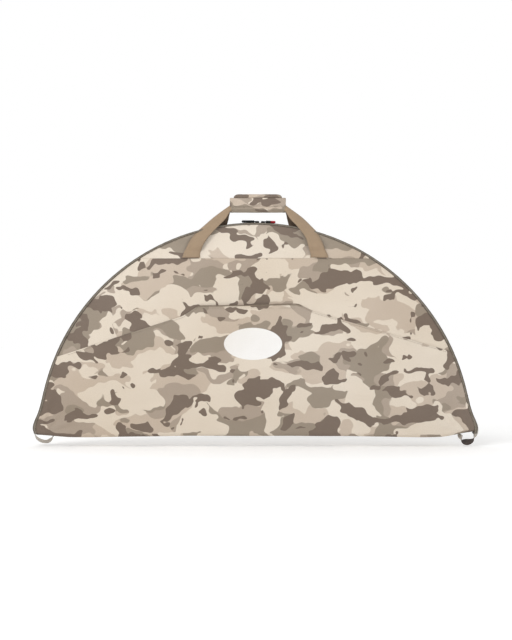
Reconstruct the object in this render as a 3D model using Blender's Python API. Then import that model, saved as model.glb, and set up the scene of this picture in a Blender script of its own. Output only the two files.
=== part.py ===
"""Half-moon changing-mat bag: a round padded mat that folds in half along its middle and zips shut round it.

The closed bag hangs by its grip. X runs along the fold, the front faces -Y and Z is up. The origin is the
middle of the grip's underside, where a hand carries it. The design's own heights are counted from the
underside of the fold, and the frame at the end of the script lowers everything by the height of the grip.
Each half is a slightly crowned stack of outer fabric, foam and lining, thin at the edge and thickest at the
fold. The two zip sliders run round the mat's true circle, whose centre lies just below the fold.
"""

from math import asin, cos, pi, radians, sin, sqrt

import bmesh
import bpy
from mathutils import Matrix, Vector

# Driving dimensions, in metres
MAT_RADIUS = 0.584  # the open mat, outside its edge binding
HALF_DEPTH = 0.025  # one closed half where it is thickest
RIM_DEPTH = 0.012  # one closed half at its edge
CROWN_WIDTH = 0.120  # how far in from the edge the half reaches its full depth
SEAM_Z = 0.476  # yoke seam
ANCHOR_Z = 0.481  # lower edge of the handles' sewn ends
WEB_THICK = 0.0022  # handle webbing
WEB_WIDTH = 0.038
TOUCH = 0.0003  # clearance between pieces that lie on each other

# Layers of one half, counted inwards from its outer surface
SHELL_THICK = 0.0020
FOAM_THICK = 0.0050
LINING_THICK = 0.0012
SHELL_RADIUS = MAT_RADIUS - 0.009
FOAM_RADIUS = SHELL_RADIUS - 0.014
LINING_RADIUS = SHELL_RADIUS - 0.008
FOAM_START = SHELL_THICK + TOUCH
LINING_START = FOAM_START + FOAM_THICK + TOUCH
SHELL_BOTTOM = 0.0040
LINING_BOTTOM = 0.0050
FOAM_BOTTOM = 0.0060

# Front pocket
POCKET_THICK = 0.0015
POCKET_RADIUS = SHELL_RADIUS - 0.003
POCKET_MOUTH_Z = 0.354
POCKET_MOUTH_LEFT = -0.150
POCKET_MOUTH_RIGHT = 0.115
POCKET_SIDE_LEFT = Vector((-0.510, 0.0, 0.219))
POCKET_SIDE_RIGHT = Vector((0.520, 0.0, 0.227))
POCKET_GAPE = 0.008  # how far the mouth stands open in its middle
POCKET_GAPE_BASE_Z = 0.190

# Zip
COIL_INNER = MAT_RADIUS - 0.0065
COIL_OUTER = MAT_RADIUS - 0.0027
TAPE_INNER = MAT_RADIUS - 0.0052
TAPE_OUTER = MAT_RADIUS - 0.0040
COIL_SLIT = 0.0008  # from the middle of the zip to each coil
COIL_EDGE = 0.0042
TAPE_EDGE = 0.0076
ZIP_END_Z = 0.034
PLATE_THICK = 0.0022
PLATE_GAP = 0.0005
SLIDER_LENGTH = 0.014
SLIDER_WIDTH = 0.011
SLIDER_MEETING_X = 0.013  # where the two sliders meet, a little right of the middle
SLIDER_NOSE_GAP = 0.0015

# Handles
BASE_X = 0.1715
GRIP_HALF = 0.0755
GRIP_SHIFT = 0.007  # the grip sits a little right of the middle
GRIP_BOTTOM = 0.6000
GRIP_TOP = 0.6385
GRIP_WEB_Z = 0.6155
SWING_Y = 0.0216
SWING_Z = 0.4935
GRIP_WEB_Y = 0.0072
GRIP_WEB_WIDTH = 0.0205
FLAP_HALF = 0.065
FLAP_BOTTOM = GRIP_TOP + 0.0015
FLAP_TOP = 0.6490
FLAP_HINGE_Y = 0.0145

# Fold
SPINE_HALF = 0.532
SPINE_THICK = 0.0025
LOOP_THICK = 0.0020
LOOP_WIDTH = 0.025

# Derived
CENTRE_Z = -RIM_DEPTH  # centre of the round mat's edge while it is folded
ARC_SEGMENTS = 40
RING_SEGMENTS = 60
CROWN_RINGS = (0.0, 0.020, 0.048, 0.082, CROWN_WIDTH)


def material(name, colour, roughness, metallic=0.0):
    made = bpy.data.materials.new(name)
    made.use_nodes = True
    shader = made.node_tree.nodes["Principled BSDF"]
    shader.inputs["Base Color"].default_value = (*colour, 1.0)
    shader.inputs["Roughness"].default_value = roughness
    shader.inputs["Metallic"].default_value = metallic
    return made


def finish(name, mesh_maker, finish_material, pivot=None):
    """A named object from a bmesh, hung on its pivot empty when it moves."""
    bmesh.ops.remove_doubles(mesh_maker, verts=mesh_maker.verts, dist=1e-6)
    bmesh.ops.recalc_face_normals(mesh_maker, faces=mesh_maker.faces)
    mesh = bpy.data.meshes.new(name)
    mesh_maker.to_mesh(mesh)
    mesh_maker.free()
    mesh.materials.append(finish_material)
    made = bpy.data.objects.new(name, mesh)
    bpy.context.scene.collection.objects.link(made)
    if pivot is not None:
        made.parent = pivot
        made.matrix_parent_inverse = pivot.matrix_world.inverted()
    return made


def pivot_at(name, place, parent=None):
    """An empty on a joint's axis."""
    made = bpy.data.objects.new(name, None)
    bpy.context.scene.collection.objects.link(made)
    made.location = place
    bpy.context.view_layer.update()
    if parent is not None:
        made.parent = parent
        made.matrix_parent_inverse = parent.matrix_world.inverted()
        bpy.context.view_layer.update()
    return made


def guide(made):
    """A cutter or an added shape: it takes part in a Boolean and isn't a piece."""
    made.hide_render = True
    made.display_type = "WIRE"
    return made


def combine(made, other, operation):
    boolean = made.modifiers.new(operation.title(), "BOOLEAN")
    boolean.operation = operation
    boolean.solver = "EXACT"
    boolean.object = guide(other)


def add_box(bm, low, high):
    size = Vector(high) - Vector(low)
    middle = (Vector(high) + Vector(low)) / 2
    matrix = Matrix.Translation(middle) @ Matrix.Diagonal((*size, 1.0))
    bmesh.ops.create_cube(bm, size=1.0, matrix=matrix)


def smooth_round(made, width, segments=3):
    bevel = made.modifiers.new("Round edges", "BEVEL")
    bevel.width = width
    bevel.segments = segments
    bevel.limit_method = "ANGLE"


# ---------------------------------------------------------------- crowned half-moon layers


def depth(radius):
    """How far the outer surface stands from the middle plane, at a distance from the mat's centre."""
    inset = min(max((SHELL_RADIUS - radius) / CROWN_WIDTH, 0.0), 1.0)
    return RIM_DEPTH + (HALF_DEPTH - RIM_DEPTH) * inset * inset * (3 - 2 * inset)


def ring_points(radius, bottom):
    """Points of a half circle about the mat's centre, from the fold on the right to the fold on the left."""
    start = asin((bottom - CENTRE_Z) / radius)
    for step in range(ARC_SEGMENTS + 1):
        angle = start + (pi - 2 * start) * step / ARC_SEGMENTS
        yield radius * cos(angle), CENTRE_Z + radius * sin(angle)


def crowned_layer(side, edge_radius, bottom, start, thickness):
    """A closed half-moon sheet of even thickness that follows the crown. side is -1 for the front half."""
    radii = [edge_radius]
    radii += [SHELL_RADIUS - d for d in CROWN_RINGS if SHELL_RADIUS - d < edge_radius - 0.001]
    bm = bmesh.new()
    sheets = []
    for offset in (start, start + thickness):
        rings = []
        for radius in radii:
            y = side * (depth(radius) - offset)
            rings.append([bm.verts.new((x, y, z)) for x, z in ring_points(radius, bottom)])
        for outer, inner in zip(rings, rings[1:]):
            for k in range(ARC_SEGMENTS):
                bm.faces.new((outer[k], outer[k + 1], inner[k + 1], inner[k]))
        bm.faces.new(rings[-1])
        sheets.append(rings)
    near, far = sheets
    for k in range(ARC_SEGMENTS):
        bm.faces.new((near[0][k], near[0][k + 1], far[0][k + 1], far[0][k]))
    for end in (0, -1):
        for k in range(len(radii) - 1):
            bm.faces.new((near[k][end], near[k + 1][end], far[k + 1][end], far[k][end]))
    bm.faces.new((near[-1][0], near[-1][-1], far[-1][-1], far[-1][0]))
    bmesh.ops.recalc_face_normals(bm, faces=bm.faces)
    return bm


def keep_below(bm, point, normal):
    """Cuts a closed mesh with a plane, keeps what lies behind the normal and closes the cut."""
    geometry = list(bm.verts) + list(bm.edges) + list(bm.faces)
    cut = bmesh.ops.bisect_plane(
        bm, geom=geometry, dist=1e-7, plane_co=point, plane_no=normal, clear_outer=True
    )
    edges = [e for e in cut["geom_cut"] if isinstance(e, bmesh.types.BMEdge)]
    bmesh.ops.holes_fill(bm, edges=edges, sides=0)
    return bm


def split_by(bm, point, normal):
    """Adds edges where a plane crosses a mesh, and keeps both sides."""
    geometry = list(bm.verts) + list(bm.edges) + list(bm.faces)
    bmesh.ops.bisect_plane(bm, geom=geometry, dist=1e-7, plane_co=point, plane_no=normal)


def shell_panels(side, prefix, fabric, pivot):
    """The outer fabric: a yoke above the handle seam and a main panel below it."""
    yoke = crowned_layer(side, SHELL_RADIUS, SHELL_BOTTOM, 0.0, SHELL_THICK)
    keep_below(yoke, (0, 0, SEAM_Z + TOUCH), (0, 0, -1))
    finish(f"{prefix}_yoke_panel", yoke, fabric, pivot)
    main = crowned_layer(side, SHELL_RADIUS, SHELL_BOTTOM, 0.0, SHELL_THICK)
    keep_below(main, (0, 0, SEAM_Z), (0, 0, 1))
    finish(f"{prefix}_main_panel", main, fabric, pivot)


def pocket_panel(fabric, pivot):
    """The front pocket: a second skin below a mouth that is level and then falls away to both sides."""
    bm = crowned_layer(-1, POCKET_RADIUS, SHELL_BOTTOM, -POCKET_THICK - TOUCH, POCKET_THICK)
    keep_below(bm, (0, 0, POCKET_MOUTH_Z), (0, 0, 1))
    for corner_x, side_point in (
        (POCKET_MOUTH_LEFT, POCKET_SIDE_LEFT),
        (POCKET_MOUTH_RIGHT, POCKET_SIDE_RIGHT),
    ):
        run = side_point - Vector((corner_x, 0, POCKET_MOUTH_Z))
        up = Vector((-run.z, 0, run.x)) if run.x > 0 else Vector((run.z, 0, -run.x))
        keep_below(bm, side_point, up)
    middle = (POCKET_MOUTH_LEFT + POCKET_MOUTH_RIGHT) / 2
    half = (POCKET_MOUTH_RIGHT - POCKET_MOUTH_LEFT) / 2
    columns = 8
    for k in range(columns + 1):
        split_by(bm, (middle + half * (2 * k / columns - 1), 0, 0), (1, 0, 0))
    rows = 4
    rise = POCKET_MOUTH_Z - POCKET_GAPE_BASE_Z
    for k in range(rows):
        split_by(bm, (0, 0, POCKET_GAPE_BASE_Z + rise * k / rows), (0, 0, 1))
    for vert in bm.verts:
        across = min(abs(vert.co.x - middle) / half, 1.0)
        up = min(max((vert.co.z - POCKET_GAPE_BASE_Z) / rise, 0.0), 1.0)
        vert.co.y -= POCKET_GAPE * cos(across * pi / 2) ** 2 * up * up * (3 - 2 * up)
    finish("front_pocket_panel", bm, fabric, pivot)


def padding(side, prefix, foam, lining, pivot):
    pad = crowned_layer(side, FOAM_RADIUS, FOAM_BOTTOM, FOAM_START, FOAM_THICK)
    finish(f"{prefix}_foam_pad", pad, foam, pivot)
    cloth = crowned_layer(side, LINING_RADIUS, LINING_BOTTOM, LINING_START, LINING_THICK)
    finish(f"{prefix}_lining", cloth, lining, pivot)


# ---------------------------------------------------------------- rim: binding and zip


def arc_sweep(section, bottom, segments=RING_SEGMENTS):
    """Sweeps a (radius, y) section round the mat's edge, between the two ends of the fold."""
    largest = max(radius for radius, _ in section)
    start = asin((bottom - CENTRE_Z) / largest)
    bm = bmesh.new()
    rows = []
    for step in range(segments + 1):
        angle = start + (pi - 2 * start) * step / segments
        rows.append(
            [bm.verts.new((r * cos(angle), y, CENTRE_Z + r * sin(angle))) for r, y in section]
        )
    count = len(section)
    for a, b in zip(rows, rows[1:]):
        for k in range(count):
            bm.faces.new((a[k], a[(k + 1) % count], b[(k + 1) % count], b[k]))
    bm.faces.new(rows[0])
    bm.faces.new(rows[-1])
    return bm


def edge_binding(side, prefix, tape, pivot):
    """Folded tape over the edge of the half: a flat strip with a rounded outer edge."""
    inner, outer = SHELL_RADIUS + TOUCH, MAT_RADIUS
    low, high = TAPE_EDGE + TOUCH, RIM_DEPTH + 0.0005
    corner = 0.0015
    section = [
        (inner, low),
        (outer - corner, low),
        (outer, low + corner),
        (outer, high - corner),
        (outer - corner, high),
        (inner, high),
    ]
    bm = arc_sweep([(r, side * y) for r, y in section], SHELL_BOTTOM)
    finish(f"{prefix}_edge_binding", bm, tape, pivot)


def zip_tape(side, prefix, tape, pivot):
    """Half of the zip: its tape, with the raised rail of its coil along the middle."""
    section = [
        (TAPE_INNER, TAPE_EDGE),
        (TAPE_INNER, COIL_EDGE),
        (COIL_INNER, COIL_EDGE),
        (COIL_INNER, COIL_SLIT),
        (COIL_OUTER, COIL_SLIT),
        (COIL_OUTER, COIL_EDGE),
        (TAPE_OUTER, COIL_EDGE),
        (TAPE_OUTER, TAPE_EDGE),
    ]
    bm = arc_sweep([(r, side * y) for r, y in section], ZIP_END_Z)
    finish(f"{prefix}_zip_tape", bm, tape, pivot)


# ---------------------------------------------------------------- sliders and pulls

BAIL_RADIUS = COIL_OUTER + PLATE_GAP + PLATE_THICK + 0.0020  # axis of the pull on its bail
PULL_LENGTH = 0.042
PULL_SPLIT = 0.017


def on_arc(bm, along):
    """Moves a piece modelled at the top of the circle, radius along Z, round to its place on the zip."""
    turn = Matrix.Rotation(along, 4, "Y")
    centre = Matrix.Translation((0, 0, CENTRE_Z))
    bmesh.ops.transform(bm, matrix=centre @ turn, verts=bm.verts)
    return bm


def slider(prefix, outward, angle, pivot, pull_pivot, metal, rubber):
    """One slider and its pull. outward is -1 when the pull points left. angle is its place round the edge."""
    half_l, half_w = SLIDER_LENGTH / 2, SLIDER_WIDTH / 2
    plate_low = COIL_OUTER + PLATE_GAP
    plate_top = plate_low + PLATE_THICK
    under_top = COIL_INNER - PLATE_GAP
    nose = -outward * half_l

    plates = bmesh.new()
    add_box(plates, (-half_l, -half_w, plate_low), (half_l, half_w, plate_top))
    body = finish(f"{prefix}_slider_body", on_arc(plates, angle), metal, pivot)
    under = bmesh.new()
    add_box(under, (-half_l, -half_w, under_top - PLATE_THICK), (half_l, half_w, under_top))
    combine(body, finish(f"{prefix}_slider_under", on_arc(under, angle), metal, pivot), "UNION")
    web = bmesh.new()
    web_ends = sorted((nose + outward * 0.0004, nose + outward * 0.004))
    add_box(web, (web_ends[0], -0.0005, under_top - 0.001), (web_ends[1], 0.0005, plate_low + 0.001))
    combine(body, finish(f"{prefix}_slider_web", on_arc(web, angle), metal, pivot), "UNION")
    bail = bmesh.new()
    add_box(bail, (-0.0045, -0.0013, plate_top - 0.001), (0.0045, 0.0013, BAIL_RADIUS + 0.0032))
    combine(body, finish(f"{prefix}_slider_bail", on_arc(bail, angle), metal, pivot), "UNION")
    window = bmesh.new()
    add_box(window, (-0.0030, -0.003, plate_top + 0.0001), (0.0030, 0.003, BAIL_RADIUS + 0.0018))
    combine(body, finish(f"{prefix}_bail_window", on_arc(window, angle), metal, pivot), "DIFFERENCE")

    reach = sorted((-outward * 0.0009, outward * PULL_SPLIT))
    tab = bmesh.new()
    add_box(tab, (reach[0], -0.0045, BAIL_RADIUS - 0.0009), (reach[1], 0.0045, BAIL_RADIUS + 0.0009))
    tab_made = finish(f"{prefix}_pull_tab", on_arc(tab, angle), metal, pull_pivot)
    eye = bmesh.new()
    eye_ends = sorted((outward * 0.0010, outward * 0.0085))
    add_box(eye, (eye_ends[0], -0.0022, BAIL_RADIUS - 0.002), (eye_ends[1], 0.0022, BAIL_RADIUS + 0.002))
    combine(tab_made, finish(f"{prefix}_pull_eye", on_arc(eye, angle), metal, pull_pivot), "DIFFERENCE")

    grip_ends = sorted((outward * (PULL_SPLIT + TOUCH), outward * PULL_LENGTH))
    grip = bmesh.new()
    add_box(grip, (grip_ends[0], -0.0042, BAIL_RADIUS - 0.0022), (grip_ends[1], 0.0042, BAIL_RADIUS + 0.0024))
    grip_made = finish(f"{prefix}_pull_grip", on_arc(grip, angle), rubber, pull_pivot)
    smooth_round(grip_made, 0.0012, 2)


# ---------------------------------------------------------------- handles


def bezier(points, t):
    a, b, c, d = (Vector(p) for p in points)
    u = 1 - t
    return a * u**3 + b * 3 * u * u * t + c * 3 * u * t * t + d * t**3


def handle_line(side):
    """Centre line and width of one handle, from its left base through the grip to its right base."""
    left = [
        (-BASE_X, side * 0.0212, SWING_Z + 0.0125),
        (-0.1645, side * 0.0198, 0.5220),
        (-0.1180, side * 0.0150, 0.5740),
        (-0.0800, side * GRIP_WEB_Y, 0.6125),
    ]
    steps = 12
    line = [(Vector((-BASE_X, side * SWING_Y, SWING_Z + 0.0016)), WEB_WIDTH)]
    for k in range(steps + 1):
        t = k / steps
        width = WEB_WIDTH + (GRIP_WEB_WIDTH - WEB_WIDTH) * min(1.0, 1.2 * t)
        line.append((bezier(left, t), width))
    for x in (-0.066, -0.040):
        line.append((Vector((x, side * GRIP_WEB_Y, GRIP_WEB_Z)), GRIP_WEB_WIDTH))
    line += [(Vector((-p.x, p.y, p.z)), w) for p, w in reversed(line)]
    for point, _ in line:
        point.x += GRIP_SHIFT * max(0.0, min((point.z - SWING_Z) / (GRIP_WEB_Z - SWING_Z), 1.0))
    return line


def ribbon(line, thickness, across):
    """A flat strap along a line. across gives the strap's width direction from the direction it runs in."""
    bm = bmesh.new()
    rows = []
    for k, (point, width) in enumerate(line):
        before, after = line[max(k - 1, 0)][0], line[min(k + 1, len(line) - 1)][0]
        run = (after - before).normalized()
        wide = across(run)
        thin = run.cross(wide).normalized() * thickness / 2
        wide = wide * width / 2
        corners = (wide + thin, -wide + thin, -wide - thin, wide - thin)
        rows.append([bm.verts.new(point + c) for c in corners])
    for a, b in zip(rows, rows[1:]):
        for k in range(4):
            bm.faces.new((a[k], a[(k + 1) % 4], b[(k + 1) % 4], b[k]))
    bm.faces.new(rows[0])
    bm.faces.new(rows[-1])
    return bm


def handle(side, prefix, webbing, fabric, half_pivot, handle_pivot):
    """Webbing strap, its two sewn-down ends on the half, and the padded half of the grip round its middle."""
    strap = ribbon(handle_line(side), WEB_THICK, lambda run: Vector((run.z, 0, -run.x)).normalized())
    finish(f"{prefix}_handle_webbing", strap, webbing, handle_pivot)
    for word, sign in (("left", -1), ("right", 1)):
        anchor = bmesh.new()
        near, far = sorted((side * 0.0189, side * 0.0207))
        middle = sign * BASE_X
        half = WEB_WIDTH / 2 + 0.001
        add_box(anchor, (middle - half, near, ANCHOR_Z), (middle + half, far, SWING_Z - 0.0020))
        finish(f"{prefix}_{word}_handle_anchor", anchor, webbing, half_pivot)

    inner, outer = side * 0.0004, side * 0.0135
    pad = bmesh.new()
    add_box(
        pad,
        (GRIP_SHIFT - GRIP_HALF, min(inner, outer), GRIP_BOTTOM),
        (GRIP_SHIFT + GRIP_HALF, max(inner, outer), GRIP_TOP),
    )
    long_outer = [
        e
        for e in pad.edges
        if abs(e.verts[0].co.y - outer) < 1e-6
        and abs(e.verts[1].co.y - outer) < 1e-6
        and abs(e.verts[0].co.x - e.verts[1].co.x) > 0.01
    ]
    bmesh.ops.bevel(pad, geom=long_outer, offset=0.0060, segments=4, profile=0.5, affect="EDGES")
    pad_made = finish(f"{prefix}_grip_pad", pad, fabric, handle_pivot)
    slot = bmesh.new()
    slot_y = sorted((side * (GRIP_WEB_Y - 0.0018), side * (GRIP_WEB_Y + 0.0018)))
    add_box(
        slot,
        (GRIP_SHIFT - GRIP_HALF - 0.01, slot_y[0], GRIP_BOTTOM + 0.0012),
        (GRIP_SHIFT + GRIP_HALF + 0.01, slot_y[1], GRIP_TOP - 0.0012),
    )
    combine(pad_made, finish(f"{prefix}_grip_slot", slot, fabric, handle_pivot), "DIFFERENCE")


def grip_flap(fabric, pivot):
    """The hook-and-loop flap: sewn along the top of the back grip pad, it closes over both pads."""
    bm = bmesh.new()
    low = (GRIP_SHIFT - FLAP_HALF, -0.0115, FLAP_BOTTOM)
    add_box(bm, low, (GRIP_SHIFT + FLAP_HALF, FLAP_HINGE_Y - 0.001, FLAP_TOP))
    top = [e for e in bm.edges if all(v.co.z > FLAP_TOP - 1e-6 for v in e.verts)]
    bmesh.ops.bevel(bm, geom=top, offset=0.0050, segments=3, profile=0.5, affect="EDGES")
    finish("grip_flap", bm, fabric, pivot)


# ---------------------------------------------------------------- fold


def fold_parts(fabric, lining, webbing):
    """What stays put when the halves open: the spine, its lining, its two ends and their loops."""
    bm = bmesh.new()
    steps = 16
    outline = []
    for k in range(steps + 1):
        x = -SPINE_HALF + 2 * SPINE_HALF * k / steps
        outline.append((x, -(depth(sqrt(x * x + CENTRE_Z**2)) - 0.0005)))
    outline += [(x, -y) for x, y in reversed(outline)]
    ends = [[bm.verts.new((x, y, z)) for x, y in outline] for z in (0.0, SPINE_THICK)]
    for row in ends:
        bm.faces.new(row)
    for k in range(len(outline)):
        n = (k + 1) % len(outline)
        bm.faces.new((ends[0][k], ends[0][n], ends[1][n], ends[1][k]))
    finish("fold_spine", bm, fabric)

    strip = bmesh.new()
    half = SPINE_HALF - 0.025
    add_box(strip, (-half, -0.0045, SPINE_THICK + TOUCH), (half, 0.0045, SPINE_THICK + TOUCH + 0.0009))
    finish("fold_lining", strip, lining)

    for word, sign in (("left", -1), ("right", 1)):
        plate = bmesh.new()
        reach = sorted((sign * (SPINE_HALF + TOUCH), sign * MAT_RADIUS))
        add_box(plate, (reach[0], -0.0110, 0.0), (reach[1], 0.0110, SPINE_THICK))
        end_made = finish(f"{word}_fold_end", plate, fabric)
        post = bmesh.new()
        up = sorted((sign * (MAT_RADIUS - 0.012), sign * MAT_RADIUS))
        add_box(post, (up[0], -0.0065, 0.0010), (up[1], 0.0065, ZIP_END_Z - 0.002))
        combine(end_made, finish(f"{word}_zip_garage", post, fabric), "UNION")
        corner_loop(word, sign, webbing)


def corner_loop(word, sign, webbing):
    """A webbing loop at the end of the fold: sewn to the outside of the corner and under the fold."""
    clear = LOOP_THICK / 2 + TOUCH
    path = [
        (MAT_RADIUS + clear, 0.028),
        (MAT_RADIUS + 0.0105, 0.014),
        (MAT_RADIUS + 0.0125, -0.003),
        (MAT_RADIUS + 0.0060, -0.017),
        (MAT_RADIUS - 0.0060, -0.0255),
        (MAT_RADIUS - 0.0210, -0.0270),
        (MAT_RADIUS - 0.0320, -0.0195),
        (MAT_RADIUS - 0.0370, -0.0080),
        (MAT_RADIUS - 0.0370, -TOUCH),
    ]
    line = [(Vector((sign * x, 0, z)), LOOP_WIDTH) for x, z in path]
    bm = ribbon(line, LOOP_THICK, lambda run: Vector((0, 1, 0)))
    finish(f"{word}_corner_loop", bm, webbing)


# ---------------------------------------------------------------- assembly


def main():
    for old in list(bpy.data.objects):
        bpy.data.objects.remove(old)

    camo = material("camo_fabric", (0.45, 0.38, 0.29), 0.85)
    foam = material("eva_foam", (0.10, 0.10, 0.10), 0.90)
    lining = material("lining_fabric", (0.13, 0.12, 0.11), 0.80)
    binding = material("binding_tape", (0.22, 0.19, 0.15), 0.80)
    tape = material("zip_tape", (0.05, 0.05, 0.05), 0.70)
    webbing = material("handle_webbing", (0.38, 0.29, 0.18), 0.85)
    loop = material("loop_webbing", (0.25, 0.22, 0.18), 0.85)
    metal = material("slider_metal", (0.02, 0.02, 0.02), 0.35, 0.8)
    rubber = material("pull_rubber", (0.02, 0.02, 0.02), 0.60)

    fold_parts(camo, lining, loop)
    shelled = (
        (-1, "front", pivot_at("front_half_axis", (0, -HALF_DEPTH, 0))),
        (1, "back", pivot_at("back_half_axis", (0, HALF_DEPTH, 0))),
    )
    for side, prefix, half in shelled:
        shell_panels(side, prefix, camo, half)
        padding(side, prefix, foam, lining, half)
        edge_binding(side, prefix, binding, half)
        zip_tape(side, prefix, tape, half)
        swing = pivot_at(f"{prefix}_handle_axis", (0, side * SWING_Y, SWING_Z), half)
        handle(side, prefix, webbing, camo, half, swing)
        if side < 0:
            pocket_panel(camo, half)
        else:
            flap_axis = pivot_at("grip_flap_axis", (0, FLAP_HINGE_Y, FLAP_BOTTOM - 0.0005), swing)
            grip_flap(camo, flap_axis)
            back_half = half

    half_step = SLIDER_LENGTH / 2 + SLIDER_NOSE_GAP / 2
    for prefix, outward in (("left", -1), ("right", 1)):
        angle = asin((SLIDER_MEETING_X + outward * half_step) / COIL_OUTER)
        track = pivot_at(f"{prefix}_slider_axis", (0, 0, CENTRE_Z), back_half)
        place = (BAIL_RADIUS * sin(angle), 0, CENTRE_Z + BAIL_RADIUS * cos(angle))
        pull = pivot_at(f"{prefix}_pull_axis", place, track)
        slider(prefix, outward, angle, track, pull, metal, rubber)

    frame = pivot_at("grip_frame", (0, 0, 0))
    for made in list(bpy.data.objects):
        if made.parent is None and made is not frame:
            made.parent = frame
    frame.location.z = -GRIP_BOTTOM


main()
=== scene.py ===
"""Looks of the half-moon changing-mat bag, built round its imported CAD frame.

Soft pieces are sheets laid out as grids in code: each point's place, and its place on the flat cloth in metres, which
goes in the UV map, so that print and weave keep their scale and move with the cloth.
"""

from math import asin, cos, pi, radians, sin, sqrt

import bmesh
import bpy
import numpy as np
from mathutils import Matrix, Vector, noise


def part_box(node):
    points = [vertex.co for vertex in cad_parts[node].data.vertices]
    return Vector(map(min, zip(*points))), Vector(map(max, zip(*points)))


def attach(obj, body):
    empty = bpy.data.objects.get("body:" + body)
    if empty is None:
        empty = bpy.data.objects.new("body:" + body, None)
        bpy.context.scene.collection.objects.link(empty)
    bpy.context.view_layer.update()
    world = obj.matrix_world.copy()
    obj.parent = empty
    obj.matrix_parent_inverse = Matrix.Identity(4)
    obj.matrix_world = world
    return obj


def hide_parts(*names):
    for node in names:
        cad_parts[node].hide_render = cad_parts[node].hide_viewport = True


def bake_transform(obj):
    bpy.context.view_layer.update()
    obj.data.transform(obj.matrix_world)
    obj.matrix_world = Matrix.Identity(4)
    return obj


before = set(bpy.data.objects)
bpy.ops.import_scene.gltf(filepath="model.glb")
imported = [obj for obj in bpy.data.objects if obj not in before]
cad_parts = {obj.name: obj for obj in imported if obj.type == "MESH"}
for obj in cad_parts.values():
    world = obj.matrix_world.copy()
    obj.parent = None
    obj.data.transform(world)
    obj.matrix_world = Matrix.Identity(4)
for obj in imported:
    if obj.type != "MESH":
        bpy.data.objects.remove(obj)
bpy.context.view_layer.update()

# ---------------------------------------------------------------- sizes, from the frame

FOLD_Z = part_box("fold_spine")[0][2]  # underside of the fold
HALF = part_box("back_main_panel")[1][1]  # thickness of one closed half
RIM_DEPTH = 0.012
CENTRE_Z = FOLD_Z - RIM_DEPTH  # centre of the mat's round edge
MAT_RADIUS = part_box("front_edge_binding")[1][2] - CENTRE_Z
SHELL_RADIUS = MAT_RADIUS - 0.009
CROWN_WIDTH = 0.120
SEAM_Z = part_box("front_main_panel")[1][2]
POCKET_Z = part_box("front_pocket_panel")[1][2]
SWING = {-1: (-0.0216, FOLD_Z + 0.4935), 1: (0.0216, FOLD_Z + 0.4935)}
GRIP_LOW, GRIP_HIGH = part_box("front_grip_pad")
FLAP_LOW, FLAP_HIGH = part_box("grip_flap")
FRONT, BACK = -1, 1
PREFIX = {FRONT: "front", BACK: "back"}
FOLD_ROUND = 0.009  # radius of the fabric where it turns under the fold
SKIN_EDGE = MAT_RADIUS - 0.003  # the outer fabric ends inside the binding
COIL_RADIUS = MAT_RADIUS - 0.0046


def up(height):
    """A height above the fold, as a height in the frame."""
    return FOLD_Z + height


# ---------------------------------------------------------------- material nodes


class Nodes:
    """A material's node tree, with short calls for what the cloths share."""

    def __init__(self, name):
        self.material = bpy.data.materials.new(name)
        self.material.use_nodes = True
        self.tree = self.material.node_tree
        self.shader = self.tree.nodes["Principled BSDF"]

    def add(self, kind, **settings):
        made = self.tree.nodes.new(kind)
        for key, value in settings.items():
            setattr(made, key, value)
        return made

    def feed(self, socket, value):
        if isinstance(value, bpy.types.NodeSocket):
            self.tree.links.new(value, socket)
        else:
            socket.default_value = value

    def math(self, operation, a, b=0.0, clamp=False):
        made = self.add("ShaderNodeMath", operation=operation, use_clamp=clamp)
        self.feed(made.inputs[0], a)
        self.feed(made.inputs[1], b)
        return made.outputs[0]

    def vector(self, operation, a, b=(0, 0, 0), scale=None):
        made = self.add("ShaderNodeVectorMath", operation=operation)
        self.feed(made.inputs[0], a)
        if scale is None:
            self.feed(made.inputs[1], b)
        else:
            self.feed(made.inputs["Scale"], scale)
        return made.outputs[0]

    def cloth_place(self):
        """Place on the flat cloth, in metres."""
        return self.add("ShaderNodeUVMap", uv_map="cloth").outputs[0]

    def noise(self, place, scale, detail=2.0, roughness=0.5, distortion=0.0, output=0):
        made = self.add("ShaderNodeTexNoise")
        self.feed(made.inputs["Vector"], place)
        made.inputs["Scale"].default_value = scale
        made.inputs["Detail"].default_value = detail
        made.inputs["Roughness"].default_value = roughness
        made.inputs["Distortion"].default_value = distortion
        return made.outputs[output]

    def ramp(self, value, low, high, start=0.0, end=1.0):
        """Where value lies between low and high, as a number from start to end."""
        made = self.add("ShaderNodeMapRange", clamp=True)
        self.feed(made.inputs["Value"], value)
        for name, number in (("From Min", low), ("From Max", high), ("To Min", start), ("To Max", end)):
            made.inputs[name].default_value = number
        return made.outputs[0]

    def mix(self, share, a, b, blend="MIX"):
        made = self.add("ShaderNodeMix", data_type="RGBA", blend_type=blend)
        self.feed(made.inputs["Factor"], share)
        self.feed(made.inputs["A"], a)
        self.feed(made.inputs["B"], b)
        return made.outputs["Result"]

    def sine(self, place, axis, pitch):
        part = self.add("ShaderNodeSeparateXYZ")
        self.feed(part.inputs[0], place)
        return self.math("SINE", self.math("MULTIPLY", part.outputs[axis], 2 * pi / pitch))

    def bump(self, height, distance, strength=1.0):
        made = self.add("ShaderNodeBump")
        self.feed(made.inputs["Height"], height)
        made.inputs["Distance"].default_value = distance
        made.inputs["Strength"].default_value = strength
        self.feed(self.shader.inputs["Normal"], made.outputs[0])

    def finish(self, colour, roughness, **fixed):
        self.feed(self.shader.inputs["Base Color"], colour)
        self.feed(self.shader.inputs["Roughness"], roughness)
        for name, value in fixed.items():
            self.shader.inputs[name.replace("_", " ").title()].default_value = value
        return self.material


def rgb(red, green, blue):
    """An sRGB colour, 0 to 255, as the linear colour that a shader takes."""
    linear = []
    for value in (red, green, blue):
        part = value / 255
        linear.append(part / 12.92 if part <= 0.04045 else ((part + 0.055) / 1.055) ** 2.4)
    return (*linear, 1.0)


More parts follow.
